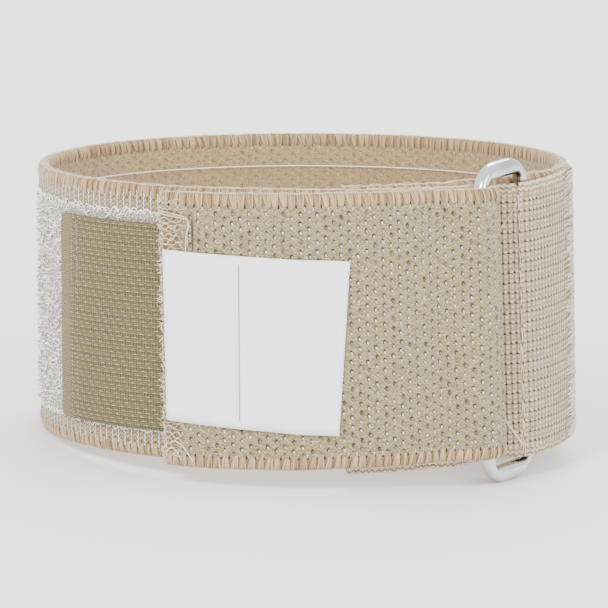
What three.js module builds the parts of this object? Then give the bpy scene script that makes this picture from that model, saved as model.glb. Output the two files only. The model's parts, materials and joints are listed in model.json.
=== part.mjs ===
// A tennis elbow strap, closed round a clear former strip and standing on its lower edge.
// One elastic band runs from the tongue under the ring, right round the loop, through the ring,
// and back over itself to a hook tape. A webbing tab holds the ring. +Z is up and -Y is the front.
import * as THREE from 'three';

// Driving dimensions, in millimetres and degrees
const loopWidth = 102.4; // outside the elastic, left to right
const loopDepth = 97; // outside the elastic, front to back
const bandWidth = 50.8; // the elastic, from edge to edge
const elasticThickness = 1.8;
const webbingWidth = 52.2;
const webbingThickness = 1.2;
const webbingDrop = 1.5; // how much lower than the elastic its cut end is
const tongueDrop = 2.9; // and its other end, under the overlap
const layerGap = 0.3; // between layers that lie on each other

const ringInnerLength = 54.4; // the slot that the band passes through
const ringInnerWidth = 11;
const ringBarWidth = 3;
const ringEndWidth = 3.2;
const ringThickness = 2.6;
const ringCornerRadius = 6.6;
const ringSlotRadius = 1;
const ringEdgeRounding = 0.8;
const heldBarDeg = -33; // where the bar in the webbing lies on the loop
const ringFaceDeg = -35; // where the ring's flat side faces
const ringLeanDeg = 3.6; // the ring's lower end leans to the right
const ringDrop = 1.2; // its middle, below the band's

const webbingTail = 20.5; // from the held bar to the webbing's cut end
const tongueLength = 28; // from the free bar to the tip under the overlap
const overlapLength = 61.4; // from the free bar to the band's cut end
const overlapDrop = 0.5; // the overlap's edges, below the rest of the band's
const overlapSag = 0.5; // how much lower its lower edge hangs midway
const foldSpread = 0.2; // how much wider it is where it folds round the ring
const cutSlant = 1; // the cut end's top sticks out further than its foot
const tapeLength = 50; // hook tape, along the band
const tapeShowing = 27.2; // the part of it that sticks out past the band's end
const tapeWidth = 38.6;
const tapeThickness = 1.4;
const tapeLift = 5.2; // its lower edge above the band's

const labelTopLength = 33.6;
const labelFootLength = 30.4;
const labelFootShift = -0.9; // its foot, to the left of its top
const labelHeight = 32.1;
const labelThickness = 0.35;
const labelLift = 6.6; // its lower edge above the band's, at mid length
const labelInset = 0.3; // from the band's cut end
const labelTopTiltDeg = 3.4;
const labelFootTiltDeg = 5.4;

const formerWidth = 38;
const formerThickness = 0.5;
const formerTail = 19; // the former's right end, past the held bar
const formerShort = 4; // its left end, short of the tongue's tip

const pitch = 3; // length of one flat facet round the loop
const slopeLength = 9; // over which a layer climbs over the end of another
const freeReach = 12; // from the free bar to where the layers lie on the loop's line again
const heldReach = 13; // the same, from the held bar
const webbingFlat = 6; // the webbing's cut end, as far as it lies on the band
const webbingTurn = 0.8; // from the held bar's middle to where the webbing turns into the slot
const slotHandle = 4; // how gently the layers bend through the slot
const leanReach = 67; // how far from the ring the cloth still leans with it

// The slope of a rounded long edge, as shares of a strip's width and thickness
const edgeRound = 0.45;
const edgeThin = 0.5;

const halfWidth = loopWidth / 2;
const halfDepth = loopDepth / 2;
const middle = bandWidth / 2;
const rad = THREE.MathUtils.degToRad;

// A point on the loop's outline, moved in by inset along the outline's normal
function onLoop(deg, inset) {
  const point = new THREE.Vector2(halfWidth * Math.cos(rad(deg)), halfDepth * Math.sin(rad(deg)));
  const out = new THREE.Vector2(Math.cos(rad(deg)) / halfWidth, Math.sin(rad(deg)) / halfDepth);
  return point.addScaledVector(out.normalize(), -inset);
}

// The angle that lies this far round the loop: clockwise seen from above when length is negative
function degFrom(deg, length) {
  const step = Math.sign(length) * 0.2;
  let left = Math.abs(length);
  while (left > 0) {
    const piece = onLoop(deg, 0).distanceTo(onLoop(deg + step, 0));
    deg += step * Math.min(1, left / piece);
    left -= piece;
  }
  return deg;
}

// The ring's own axes in plan: across it, and out of its flat side
const across = new THREE.Vector2(-Math.sin(rad(ringFaceDeg)), Math.cos(rad(ringFaceDeg)));
const outward = new THREE.Vector2(Math.cos(rad(ringFaceDeg)), Math.sin(rad(ringFaceDeg)));
const barOffset = (ringInnerWidth + ringBarWidth) / 2;
const barHalf = ringThickness / 2;
const heldBarShare = 0.4; // of the ring's thickness that lies inside the loop's line there
const heldBarInset = webbingThickness / 2 + layerGap + heldBarShare * ringThickness;
const heldBar = onLoop(heldBarDeg, heldBarInset);
const ringCentre = heldBar.clone().addScaledVector(across, -barOffset);

function inRing(u, v) {
  return ringCentre.clone().addScaledVector(across, u).addScaledVector(outward, v);
}

// Places round the loop, in degrees that fall clockwise from the ring
const freeBar = inRing(-barOffset, 0);
const freeBarDeg = THREE.MathUtils.radToDeg(Math.atan2(freeBar.y / halfDepth, freeBar.x / halfWidth));
const nearRingDeg = degFrom(freeBarDeg, -freeReach);
const tipDeg = degFrom(freeBarDeg, -tongueLength);
const bandEndDeg = degFrom(freeBarDeg, -overlapLength);
const tapeEndDeg = degFrom(bandEndDeg, tapeLength - tapeShowing);
const tapeStartDeg = degFrom(bandEndDeg, -tapeShowing);
const webbingEndDeg = degFrom(heldBarDeg, webbingTail);
const heldSideDeg = degFrom(heldBarDeg, heldReach);

// How far the band's outer side lies inside the loop's outline, in shares of its own thickness
const bandLie = [
  { deg: heldSideDeg, sink: 0.3 },
  { deg: degFrom(webbingEndDeg, slopeLength), sink: 0 },
  { deg: tapeStartDeg + 360, sink: 0 },
  { deg: bandEndDeg + 360, sink: 0.17 },
  { deg: tapeEndDeg + 360, sink: 1.33 },
  { deg: nearRingDeg + 360, sink: 1.17 },
];

function bandInset(deg) {
  const turned = deg < bandLie[0].deg ? deg + 360 : deg;
  const next = Math.max(1, bandLie.findIndex((row) => row.deg >= turned));
  const [low, high] = [bandLie[next - 1], bandLie[next]];
  const share = THREE.MathUtils.smoothstep(turned, low.deg, high.deg);
  return elasticThickness * THREE.MathUtils.lerp(low.sink, high.sink, share);
}

// The overlap lies on the hook tape as far as that reaches, and then on the band
function overlapInset(deg) {
  const slopeDeg = degFrom(tapeEndDeg, slopeLength);
  const onTape = 1 - THREE.MathUtils.smoothstep(deg, tapeEndDeg, slopeDeg);
  return bandInset(deg) - layerGap - onTape * (tapeThickness + layerGap) - elasticThickness;
}

const webbingUnderBand = elasticThickness + layerGap;
const tongueUnderBand = webbingUnderBand + webbingThickness + layerGap;

// A line of points round the loop at the mid thickness of a layer
function roundLoop(fromDeg, toDeg, inset) {
  const count = Math.ceil((Math.abs(toDeg - fromDeg) * rad(1) * halfWidth) / pitch);
  const points = [];
  for (let i = 0; i <= count; i++) {
    const deg = THREE.MathUtils.lerp(fromDeg, toDeg, i / count);
    points.push(onLoop(deg, inset(deg)));
  }
  return points;
}

// Joins lines end to end, with a smooth bend across each space between them
function joined(lines, bendSteps = 7) {
  const points = [...lines[0]];
  for (const line of lines.slice(1)) {
    const [before, start] = points.slice(-2);
    const [end, after] = line;
    const reach = start.distanceTo(end) / 3;
    const leave = start.clone().sub(before).setLength(reach).add(start);
    const arrive = end.clone().sub(after).setLength(reach).add(end);
    const bend = new THREE.CubicBezierCurve(start, leave, arrive, end).getPoints(bendSteps);
    points.push(...bend.slice(1), ...line.slice(1));
  }
  return points;
}

// Smooth steps through the ring's slot, from one side of a bar to the other side of the next
function throughSlot(from, to, steps = 9) {
  const handle = Math.sign(to.u - from.u) * slotHandle;
  return new THREE.CubicBezierCurve(
    inRing(from.u, from.v),
    inRing(from.u + handle, from.v),
    inRing(to.u - handle, to.v),
    inRing(to.u, to.v),
  ).getPoints(steps);
}

// How far along a line each of its points lies
function lengthsAlong(line) {
  const lengths = [0];
  for (let i = 1; i < line.length; i++) {
    lengths.push(lengths[i - 1] + line[i].distanceTo(line[i - 1]));
  }
  return lengths;
}

// A strip of cloth or film that stands on edge along a line in plan, with rounded long edges.
// Its lower and upper edges are heights at each length along it, and slant leans its first end.
function strip(line, thickness, lower, upper, slant = 0) {
  const steps = line.length - 1;
  const lengths = lengthsAlong(line);
  const round = edgeRound * thickness;
  const rows = 3;
  const geometry = new THREE.BoxGeometry(steps, rows, 1, steps, rows, 1);
  const position = geometry.attributes.position;
  for (let i = 0; i < position.count; i++) {
    const at = Math.round(position.getX(i) + steps / 2);
    const row = Math.round(position.getY(i) + rows / 2);
    const [low, high] = [lower(lengths[at]), upper(lengths[at])];
    const height = [low, low + round, high - round, high][row];
    const along = line[Math.min(at + 1, steps)].clone().sub(line[Math.max(at - 1, 0)]).normalize();
    const thin = row === 0 || row === rows ? edgeThin : 1;
    const side = position.getZ(i) * thickness * thin;
    const lean = at === 0 ? slant * (0.5 - (height - low) / (high - low)) : 0;
    const x = line[at].x + along.x * lean + along.y * side;
    const y = line[at].y + along.y * lean - along.x * side;
    position.setXYZ(i, x, y, height);
  }
  return geometry;
}

// The overlap hangs a little lower than the band, and is widest at the fold
function onOverlap(length) {
  return 1 - THREE.MathUtils.smoothstep(length, overlapLength, 2 * overlapLength);
}

function bandLower(length) {
  const toFold = Math.min(length / overlapLength, 1);
  const sag = overlapSag * Math.sin(Math.PI * toFold);
  return -(overlapDrop + foldSpread * toFold + sag) * onOverlap(length);
}

function bandUpper(length) {
  return bandWidth - overlapDrop * onOverlap(length);
}

// The cloth near the ring is skewed to the ring's lean, less and less with distance
function skewToRing(geometry) {
  const position = geometry.attributes.position;
  for (let i = 0; i < position.count; i++) {
    const point = new THREE.Vector2(position.getX(i), position.getY(i));
    const near = 1 - THREE.MathUtils.smoothstep(point.distanceTo(ringCentre), 0, leanReach);
    const shift = Math.tan(rad(ringLeanDeg)) * (middle - position.getZ(i)) * near;
    point.addScaledVector(across, shift);
    position.setXY(i, point.x, point.y);
  }
  return geometry;
}

// The band: overlap, fold round the free bar, the whole loop, and the tongue under the ring
function elasticLine() {
  const half = elasticThickness / 2;
  const sideV = barHalf + layerGap + half;
  const sideU = ringBarWidth / 2 + layerGap + half;
  const flatU = -barOffset - ringBarWidth / 2;
  const fold = [];
  const foldSteps = 12;
  for (let i = 0; i <= foldSteps; i++) {
    const turn = Math.PI * (0.5 - i / foldSteps);
    fold.push(inRing(-barOffset + sideU * Math.cos(turn), sideV * Math.sin(turn)));
  }
  const tongueV = -(barHalf + layerGap + tongueUnderBand + half);
  return joined([
    roundLoop(bandEndDeg, nearRingDeg, (deg) => overlapInset(deg) + half),
    [inRing(flatU, sideV), ...fold, inRing(flatU, -sideV)],
    roundLoop(nearRingDeg, heldSideDeg - 360, (deg) => bandInset(deg) + half),
    [
      inRing(barOffset + ringBarWidth / 2, -sideV),
      ...throughSlot({ u: barOffset - ringBarWidth / 2, v: -sideV }, { u: -barOffset, v: tongueV }),
      inRing(flatU, tongueV),
    ],
    roundLoop(nearRingDeg, tipDeg, (deg) => bandInset(deg) + tongueUnderBand + half),
  ]);
}

// The webbing: from its cut end over the held bar, through the slot, and on to the tongue's tip
function webbingLine() {
  const half = webbingThickness / 2;
  const overV = barHalf + layerGap + half;
  const underV = -(barHalf + layerGap + webbingUnderBand + half);
  return joined([
    roundLoop(
      webbingEndDeg,
      degFrom(webbingEndDeg, -webbingFlat),
      (deg) => bandInset(deg) - layerGap - half,
    ),
    [
      inRing(barOffset + ringBarWidth / 2, overV),
      ...throughSlot({ u: barOffset - webbingTurn, v: overV }, { u: -barOffset, v: underV }),
      inRing(-barOffset - ringBarWidth / 2, underV),
    ],
    roundLoop(nearRingDeg, tipDeg, (deg) => bandInset(deg) + webbingUnderBand + half),
  ]);
}

function tapeLine() {
  const inset = (deg) => bandInset(deg) - layerGap - tapeThickness / 2;
  return roundLoop(tapeStartDeg, tapeEndDeg, inset);
}

// The former springs out against the band, and stops at each side of the tongue
function formerLine() {
  const half = formerThickness / 2;
  const from = degFrom(heldBarDeg, formerTail);
  const to = degFrom(tipDeg, -formerShort) + 360;
  return roundLoop(from, to, (deg) => bandInset(deg) + elasticThickness + layerGap + half);
}

// The label: a sheet bent to the overlap, set a little askew and narrower at its foot
function labelGeometry() {
  const midDeg = degFrom(bandEndDeg, labelInset + labelTopLength / 2);
  const columns = Math.ceil(labelTopLength / pitch);
  const geometry = new THREE.BoxGeometry(labelTopLength, labelHeight, 1, columns, 4, 1);
  const position = geometry.attributes.position;
  for (let i = 0; i < position.count; i++) {
    const share = position.getY(i) / labelHeight + 0.5;
    const length = THREE.MathUtils.lerp(labelFootLength, labelTopLength, share);
    const shift = labelFootShift * (1 - share);
    const x = (position.getX(i) * length) / labelTopLength + shift;
    const tiltDeg = THREE.MathUtils.lerp(labelFootTiltDeg, labelTopTiltDeg, share);
    position.setX(i, x);
    position.setY(i, position.getY(i) - x * Math.tan(rad(tiltDeg)));
  }
  for (let i = 0; i < position.count; i++) {
    const deg = degFrom(midDeg, position.getX(i));
    const above = layerGap + labelThickness * (position.getZ(i) + 0.5);
    const point = onLoop(deg, overlapInset(deg) - above);
    position.setXYZ(i, point.x, point.y, labelLift + labelHeight / 2 + position.getY(i));
  }
  return geometry;
}

function roundedOutline(outline, width, height, radius) {
  const [x, y] = [width / 2, height / 2];
  outline.moveTo(x, -y + radius);
  outline.lineTo(x, y - radius).absarc(x - radius, y - radius, radius, 0, Math.PI / 2, false);
  outline.lineTo(-x + radius, y).absarc(-x + radius, y - radius, radius, Math.PI / 2, Math.PI, false);
  outline.lineTo(-x, -y + radius).absarc(-x + radius, -y + radius, radius, Math.PI, 1.5 * Math.PI, false);
  outline.lineTo(x - radius, -y).absarc(x - radius, -y + radius, radius, 1.5 * Math.PI, 2 * Math.PI, false);
  return outline;
}

const ringOuterWidth = ringInnerWidth + 2 * ringBarWidth;
const ringOuterLength = ringInnerLength + 2 * ringEndWidth;

// The ring: a flat metal loop with a squared slot and rounded edges
function ringGeometry() {
  const outline = roundedOutline(new THREE.Shape(), ringOuterWidth, ringOuterLength, ringCornerRadius);
  outline.holes.push(roundedOutline(new THREE.Path(), ringInnerWidth, ringInnerLength, ringSlotRadius));
  const geometry = new THREE.ExtrudeGeometry(outline, {
    depth: ringThickness - 2 * ringEdgeRounding,
    bevelThickness: ringEdgeRounding,
    bevelSize: ringEdgeRounding,
    bevelOffset: -ringEdgeRounding,
    bevelSegments: 2,
    curveSegments: 6,
  });
  geometry.translate(0, 0, ringEdgeRounding - ringThickness / 2);
  return geometry;
}

function cloth(colour, roughness) {
  return new THREE.MeshStandardMaterial({ color: colour, roughness, metalness: 0 });
}

const elasticCloth = cloth(0xc9bda2, 0.95);
const webbingCloth = cloth(0xcdbba8, 0.9);
const hookCloth = cloth(0xa89a74, 0.85);
const labelFilm = cloth(0xe6eaf2, 0.45);
const steel = new THREE.MeshStandardMaterial({ color: 0xd4d6d8, roughness: 0.12, metalness: 1 });
const clearFilm = new THREE.MeshStandardMaterial({
  color: 0xe4e6e2,
  roughness: 0.1,
  metalness: 0,
  transparent: true,
  opacity: 0.3,
});

function piece(name, geometry, material) {
  const mesh = new THREE.Mesh(geometry, material);
  mesh.name = name;
  return mesh;
}

const ring = piece('ring', ringGeometry(), steel);
const ringSide = new THREE.Vector3(across.x, across.y, 0);
const ringFace = new THREE.Vector3(outward.x, outward.y, 0);
const ringUp = new THREE.Vector3(0, 0, 1).applyAxisAngle(ringFace, rad(ringLeanDeg));
ringSide.applyAxisAngle(ringFace, rad(ringLeanDeg));
ring.quaternion.setFromRotationMatrix(new THREE.Matrix4().makeBasis(ringSide, ringUp, ringFace));
ring.position.set(ringCentre.x, ringCentre.y, middle - ringDrop);

function webbingLower(length) {
  const toTongue = Math.min(length / (webbingTail + tongueLength), 1);
  return -THREE.MathUtils.lerp(webbingDrop, tongueDrop, toTongue);
}

const band = strip(elasticLine(), elasticThickness, bandLower, bandUpper, cutSlant);
const webbingUpper = (length) => webbingLower(length) + webbingWidth;
const webbing = strip(webbingLine(), webbingThickness, webbingLower, webbingUpper);
const tape = strip(tapeLine(), tapeThickness, () => tapeLift, () => tapeLift + tapeWidth);
const formerLift = (bandWidth - formerWidth) / 2;
const former = strip(formerLine(), formerThickness, () => formerLift, () => formerLift + formerWidth);

const strap = new THREE.Group();
strap.add(
  piece('elastic_band', skewToRing(band), elasticCloth),
  piece('webbing_tab', skewToRing(webbing), webbingCloth),
  piece('hook_tape', skewToRing(tape), hookCloth),
  piece('label', skewToRing(labelGeometry()), labelFilm),
  ring,
  piece('former_strip', skewToRing(former), clearFilm),
);

// The strap rests on the ring's lower end and on the band's edge at the far side
strap.updateMatrixWorld(true);
const ringLow = new THREE.Box3().setFromObject(ring, true).min.z;
const farEdge = onLoop(THREE.MathUtils.radToDeg(ringCentre.angle()) + 180, 0);
const restTilt = Math.atan2(-ringLow, ringCentre.distanceTo(farEdge));
const tiltAxis = new THREE.Vector3(ringCentre.y, -ringCentre.x, 0).normalize();
strap.setRotationFromAxisAngle(tiltAxis, restTilt);

// The origin lies under the middle of the whole strap, on the surface that it stands on
const standing = new THREE.Group();
standing.add(strap);
const extent = new THREE.Box3().setFromObject(standing, true);
strap.position.set(-(extent.min.x + extent.max.x) / 2, -(extent.min.y + extent.max.y) / 2, -extent.min.z);

export default standing;
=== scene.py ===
import json
import math

import bmesh
import bpy
import numpy as np
from mathutils import Matrix, Vector


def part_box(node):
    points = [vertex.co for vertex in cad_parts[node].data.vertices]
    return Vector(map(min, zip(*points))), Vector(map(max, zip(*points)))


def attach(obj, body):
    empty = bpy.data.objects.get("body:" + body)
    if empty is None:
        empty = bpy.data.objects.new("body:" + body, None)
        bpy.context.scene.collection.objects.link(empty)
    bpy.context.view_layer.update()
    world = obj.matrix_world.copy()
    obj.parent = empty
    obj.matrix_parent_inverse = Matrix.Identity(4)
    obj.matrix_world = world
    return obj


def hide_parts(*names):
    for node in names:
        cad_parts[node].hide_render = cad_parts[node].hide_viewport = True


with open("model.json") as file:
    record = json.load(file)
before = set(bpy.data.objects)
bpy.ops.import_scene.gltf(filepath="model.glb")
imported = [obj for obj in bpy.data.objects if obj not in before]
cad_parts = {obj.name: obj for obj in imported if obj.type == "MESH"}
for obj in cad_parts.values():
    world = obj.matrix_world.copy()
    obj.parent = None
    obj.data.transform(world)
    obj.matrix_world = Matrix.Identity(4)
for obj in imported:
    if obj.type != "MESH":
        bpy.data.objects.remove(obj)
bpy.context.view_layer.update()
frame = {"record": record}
mm = 0.001
print("frame loaded")

# the strap's own sizes in millimetres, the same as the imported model's
strap = {
    "loopWidth": 102.4,
    "loopDepth": 97.0,
    "bandWidth": 50.8,
    "layerGap": 0.3,
    "slopeLength": 9.0,  # over which a layer climbs over the end of another
    "freeReach": 12.0,  # from the free bar to where the layers lie on the loop again
    "heldReach": 13.0,
    "slotHandle": 4.0,  # how gently the layers bend through the ring's slot
    "leanReach": 67.0,  # how far from the ring the cloth still leans with it
    "fineStep": 0.9,
    "foldSteps": 18,  # round the free bar
    "slotSteps": 18,  # through the ring's slot
    "bendSteps": 14,  # across each space between two parts of a line
}
ringSize = {
    "innerLength": 54.4,
    "innerWidth": 11.0,
    "bar": 3.0,
    "end": 3.2,
    "thickness": 2.6,
    "corner": 6.6,
    "slotCorner": 1.0,
    "faceDeg": -35.0,
    "heldBarDeg": -33.0,
    "leanDeg": 3.6,
    "drop": 1.2,
    "heldBarShare": 0.4,
    "cornerSteps": 12,
    "rounding": 1.15,
    "roundingSteps": 5,
}
band = {"thickness": 1.8, "overlap": 61.4, "drop": 0.5, "sag": 0.5, "spread": 0.2, "cutSlant": 1.0}
webbing = {"width": 52.2, "thickness": 1.2, "drop": 1.5, "tongueDrop": 2.9, "tail": 20.5, "tongue": 28.0,
           "flat": 6.0, "turn": 0.8}
tape = {"length": 50.0, "showing": 27.2, "width": 38.6, "thickness": 1.4, "lift": 5.2}
label = {"topLength": 33.6, "footLength": 30.4, "footShift": -0.9, "height": 32.1, "thickness": 0.35,
         "lift": 6.6, "inset": 0.3, "topTiltDeg": 3.4, "footTiltDeg": 5.4, "ruleAt": -3.2, "gapShare": 0.7,
         "columns": 40, "rows": 20}
former = {"width": 38.0, "thickness": 0.5, "tail": 19.0, "short": 4.0, "step": 1.5}

halfWidth = strap["loopWidth"] / 2
halfDepth = strap["loopDepth"] / 2
middle = strap["bandWidth"] / 2
gap = strap["layerGap"]


def smooth(value, low, high):
    share = np.clip((np.asarray(value, float) - low) / (high - low), 0, 1)
    return share * share * (3 - 2 * share)


def onLoop(deg, inset):  # a point on the loop's outline, moved in along its normal
    turn = np.radians(deg)
    out = np.stack([np.cos(turn) / halfWidth, np.sin(turn) / halfDepth], -1)
    out /= np.linalg.norm(out, axis=-1, keepdims=True)
    point = np.stack([halfWidth * np.cos(turn), halfDepth * np.sin(turn)], -1)
    return point - out * np.asarray(inset)[..., None]


tableReach, tableStep = 540, 0.2  # degrees either way, enough for a band that goes round more than once
tableDeg = np.arange(-tableReach, tableReach + 0.01, tableStep)
tablePoints = onLoop(tableDeg, 0 * tableDeg)
tableLength = np.concatenate([[0], np.cumsum(np.linalg.norm(np.diff(tablePoints, axis=0), axis=1))])


def degFrom(deg, length):  # the angle that lies this far round the loop
    return np.interp(np.interp(deg, tableDeg, tableLength) + length, tableLength, tableDeg)


faceTurn = math.radians(ringSize["faceDeg"])
across = np.array([-math.sin(faceTurn), math.cos(faceTurn)])
outward = np.array([math.cos(faceTurn), math.sin(faceTurn)])
barOffset = (ringSize["innerWidth"] + ringSize["bar"]) / 2
barHalf = ringSize["thickness"] / 2
heldBarInset = webbing["thickness"] / 2 + gap + ringSize["heldBarShare"] * ringSize["thickness"]
ringCentre = onLoop(ringSize["heldBarDeg"], heldBarInset) - across * barOffset


def inRing(u, v):
    return ringCentre + across * u + outward * v


freeBar = inRing(-barOffset, 0)
freeBarDeg = math.degrees(math.atan2(freeBar[1] / halfDepth, freeBar[0] / halfWidth))
nearRingDeg = degFrom(freeBarDeg, -strap["freeReach"])
tipDeg = degFrom(freeBarDeg, -webbing["tongue"])
bandEndDeg = degFrom(freeBarDeg, -band["overlap"])
tapeEndDeg = degFrom(bandEndDeg, tape["length"] - tape["showing"])
tapeStartDeg = degFrom(bandEndDeg, -tape["showing"])
webbingEndDeg = degFrom(ringSize["heldBarDeg"], webbing["tail"])
heldSideDeg = degFrom(ringSize["heldBarDeg"], strap["heldReach"])
slopeEndDeg = degFrom(tapeEndDeg, strap["slopeLength"])

# how far the band lies inside the loop's outline, in shares of its own thickness
bandLie = [
    (heldSideDeg, 0.3),
    (degFrom(webbingEndDeg, strap["slopeLength"]), 0.0),
    (tapeStartDeg + 360, 0.0),
    (bandEndDeg + 360, 0.17),
    (tapeEndDeg + 360, 1.33),
    (nearRingDeg + 360, 1.17),
]


def bandInset(deg):
    turned = np.where(np.asarray(deg) < bandLie[0][0], np.asarray(deg) + 360, deg)
    turned = np.maximum(turned, bandLie[0][0])
    sink = np.zeros_like(turned, dtype=float)
    for (lowDeg, lowSink), (highDeg, highSink) in zip(bandLie, bandLie[1:]):
        here = (turned >= lowDeg) & (turned <= highDeg)
        share = smooth(turned, lowDeg, highDeg)
        sink = np.where(here, lowSink + (highSink - lowSink) * share, sink)
    return band["thickness"] * sink


def overlapInset(deg):
    onTape = 1 - smooth(deg, tapeEndDeg, slopeEndDeg)
    return bandInset(deg) - gap - onTape * (tape["thickness"] + gap) - band["thickness"]


underBand = band["thickness"] + gap
tongueUnder = underBand + webbing["thickness"] + gap


def roundLoop(fromDeg, toDeg, inset):
    count = max(2, math.ceil(math.radians(abs(toDeg - fromDeg)) * halfWidth / strap["fineStep"]))
    deg = np.linspace(fromDeg, toDeg, count + 1)
    return list(onLoop(deg, inset(deg)))


def bezier(a, b, c, d, steps):
    t = np.linspace(0, 1, steps + 1)[:, None]
    return list((1 - t) ** 3 * a + 3 * (1 - t) ** 2 * t * b + 3 * (1 - t) * t * t * c + t ** 3 * d)


def joined(lines):  # end to end, with a smooth bend across each space
    points = list(lines[0])
    for line in lines[1:]:
        start, end = points[-1], line[0]
        reach = np.linalg.norm(end - start) / 3
        leave = start - points[-2]
        arrive = end - line[1]
        leave = start + leave / np.linalg.norm(leave) * reach
        arrive = end + arrive / np.linalg.norm(arrive) * reach
        points += bezier(start, leave, arrive, end, strap["bendSteps"])[1:] + list(line[1:])
    return points


def throughSlot(fromU, fromV, toU, toV):
    handle = math.copysign(strap["slotHandle"], toU - fromU)
    return bezier(inRing(fromU, fromV), inRing(fromU + handle, fromV), inRing(toU - handle, toV),
                  inRing(toU, toV), strap["slotSteps"])


def makeLine(points, step):  # evenly spaced points with the side that lies to the right
    points = np.array(points)
    length = np.concatenate([[0], np.cumsum(np.linalg.norm(np.diff(points, axis=0), axis=1))])
    at = np.linspace(0, length[-1], max(2, int(length[-1] / step) + 1))
    even = np.stack([np.interp(at, length, points[:, k]) for k in (0, 1)], -1)
    along = np.gradient(even, axis=0)
    along /= np.linalg.norm(along, axis=1, keepdims=True)
    return {"at": at, "points": even, "along": along, "length": length[-1]}


def lineAt(line, at):
    point = np.stack([np.interp(at, line["at"], line["points"][:, k]) for k in (0, 1)], -1)
    along = np.stack([np.interp(at, line["at"], line["along"][:, k]) for k in (0, 1)], -1)
    along /= np.linalg.norm(along, axis=-1, keepdims=True)
    return point, along


# the whole strap leans to rest on the ring and on the far edge, as its lower_edge mount says
mountAxis = frame["record"]["mounts"][0]["axis"]
restTilt = math.acos(-mountAxis[2] / np.linalg.norm(mountAxis))
tiltAxis = Vector((ringCentre[1], -ringCentre[0], 0)).normalized()
standTurn = Matrix.Rotation(restTilt, 3, tiltAxis)
ringMiddle = Vector((ringCentre[0], ringCentre[1], middle - ringSize["drop"]))
ringLow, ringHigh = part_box("ring")
standMove = (Vector(ringLow) + Vector(ringHigh)) / 2 - standTurn @ ringMiddle * mm
turnTable = np.array(standTurn)
moveTable = np.array(standMove)


def skewed(points):  # cloth near the ring leans with it
    plan = points[:, :2] - ringCentre
    near = 1 - smooth(np.linalg.norm(plan, axis=1), 0, strap["leanReach"])
    shift = math.tan(math.radians(ringSize["leanDeg"])) * (middle - points[:, 2]) * near
    moved = points.copy()
    moved[:, :2] += across * shift[:, None]
    return moved


def place(points):  # from the strap's millimetres to the scene's metres
    points = skewed(np.asarray(points, float).reshape(-1, 3))
    return points @ turnTable.T * mm + moveTable


def onOverlap(at):
    return 1 - smooth(at, band["overlap"], 2 * band["overlap"])


def bandLower(at):
    toFold = np.minimum(at / band["overlap"], 1)
    return -(band["drop"] + band["spread"] * toFold + band["sag"] * np.sin(math.pi * toFold)) * onOverlap(at)


def bandUpper(at):
    return strap["bandWidth"] - band["drop"] * onOverlap(at)


def webbingLower(at):
    share = np.minimum(at / (webbing["tail"] + webbing["tongue"]), 1)
    return -(webbing["drop"] + (webbing["tongueDrop"] - webbing["drop"]) * share)


def webbingUpper(at):
    return webbingLower(at) + webbing["width"]


def elasticLine():
    half = band["thickness"] / 2
    sideV = barHalf + gap + half
    sideU = ringSize["bar"] / 2 + gap + half
    flatU = -barOffset - ringSize["bar"] / 2
    turns = np.radians(np.linspace(90, -90, strap["foldSteps"] + 1))
    fold = [inRing(-barOffset + sideU * math.cos(turn), sideV * math.sin(turn)) for turn in turns]
    tongueV = -(barHalf + gap + tongueUnder + half)
    return makeLine(joined([
        roundLoop(bandEndDeg, nearRingDeg, lambda deg: overlapInset(deg) + half),
        [inRing(flatU, sideV), *fold, inRing(flatU, -sideV)],
        roundLoop(nearRingDeg, heldSideDeg - 360, lambda deg: bandInset(deg) + half),
        [inRing(barOffset + ringSize["bar"] / 2, -sideV),
         *throughSlot(barOffset - ringSize["bar"] / 2, -sideV, -barOffset, tongueV),
         inRing(flatU, tongueV)],
        roundLoop(nearRingDeg, tipDeg, lambda deg: bandInset(deg) + tongueUnder + half),
    ]), strap["fineStep"])


def webbingLine():
    half = webbing["thickness"] / 2
    overV = barHalf + gap + half
    underV = -(barHalf + gap + underBand + half)
    return makeLine(joined([
        roundLoop(webbingEndDeg, degFrom(webbingEndDeg, -webbing["flat"]),
                  lambda deg: bandInset(deg) - gap - half),
        [inRing(barOffset + ringSize["bar"] / 2, overV),
         *throughSlot(barOffset - webbing["turn"], overV, -barOffset, underV),
         inRing(-barOffset - ringSize["bar"] / 2, underV)],
        roundLoop(nearRingDeg, tipDeg, lambda deg: bandInset(deg) + underBand + half),
    ]), strap["fineStep"])


bandLine = elasticLine()
tabLine = webbingLine()
tapeLine = makeLine(
    roundLoop(tapeStartDeg, tapeEndDeg, lambda deg: bandInset(deg) - gap - tape["thickness"] / 2),
    strap["fineStep"])
formerLine = makeLine(
    roundLoop(degFrom(ringSize["heldBarDeg"], former["tail"]), degFrom(tipDeg, -former["short"]) + 360,
              lambda deg: bandInset(deg) + band["thickness"] + gap + former["thickness"] / 2), former["step"])
print("lines laid out: band", round(bandLine["length"], 1), "webbing", round(tabLine["length"], 1))


def meshObject(name, points, faces, uv, materials, slots=None):
    mesh = bpy.data.meshes.new(name)
    mesh.from_pydata([tuple(p) for p in points], [], faces)
    layer = mesh.uv_layers.new(name="UVMap")
    corner = np.empty(len(mesh.loops), dtype=np.int64)
    mesh.loops.foreach_get("vertex_index", corner)
    layer.data.foreach_set("uv", np.asarray(uv, dtype=np.float32)[corner].ravel())
    for material in materials:
        mesh.materials.append(material)
    if slots is not None:
        mesh.polygons.foreach_set("material_index", np.asarray(slots, dtype=np.int32))
    mesh.polygons.foreach_set("use_smooth", [True] * len(mesh.polygons))
    mesh.update()
    obj = bpy.data.objects.new(name, mesh)
    bpy.context.scene.collection.objects.link(obj)
    return obj


# how a strip thins to its edges: share of the width from the edge, and share of the thickness there
edgeProfile = np.array([(0, 0.3), (0.01, 0.72), (0.04, 1)])
flatPart = (0.05, 0.95)
cutReach = 2.5  # how far from the cut end its slant is felt


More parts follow.
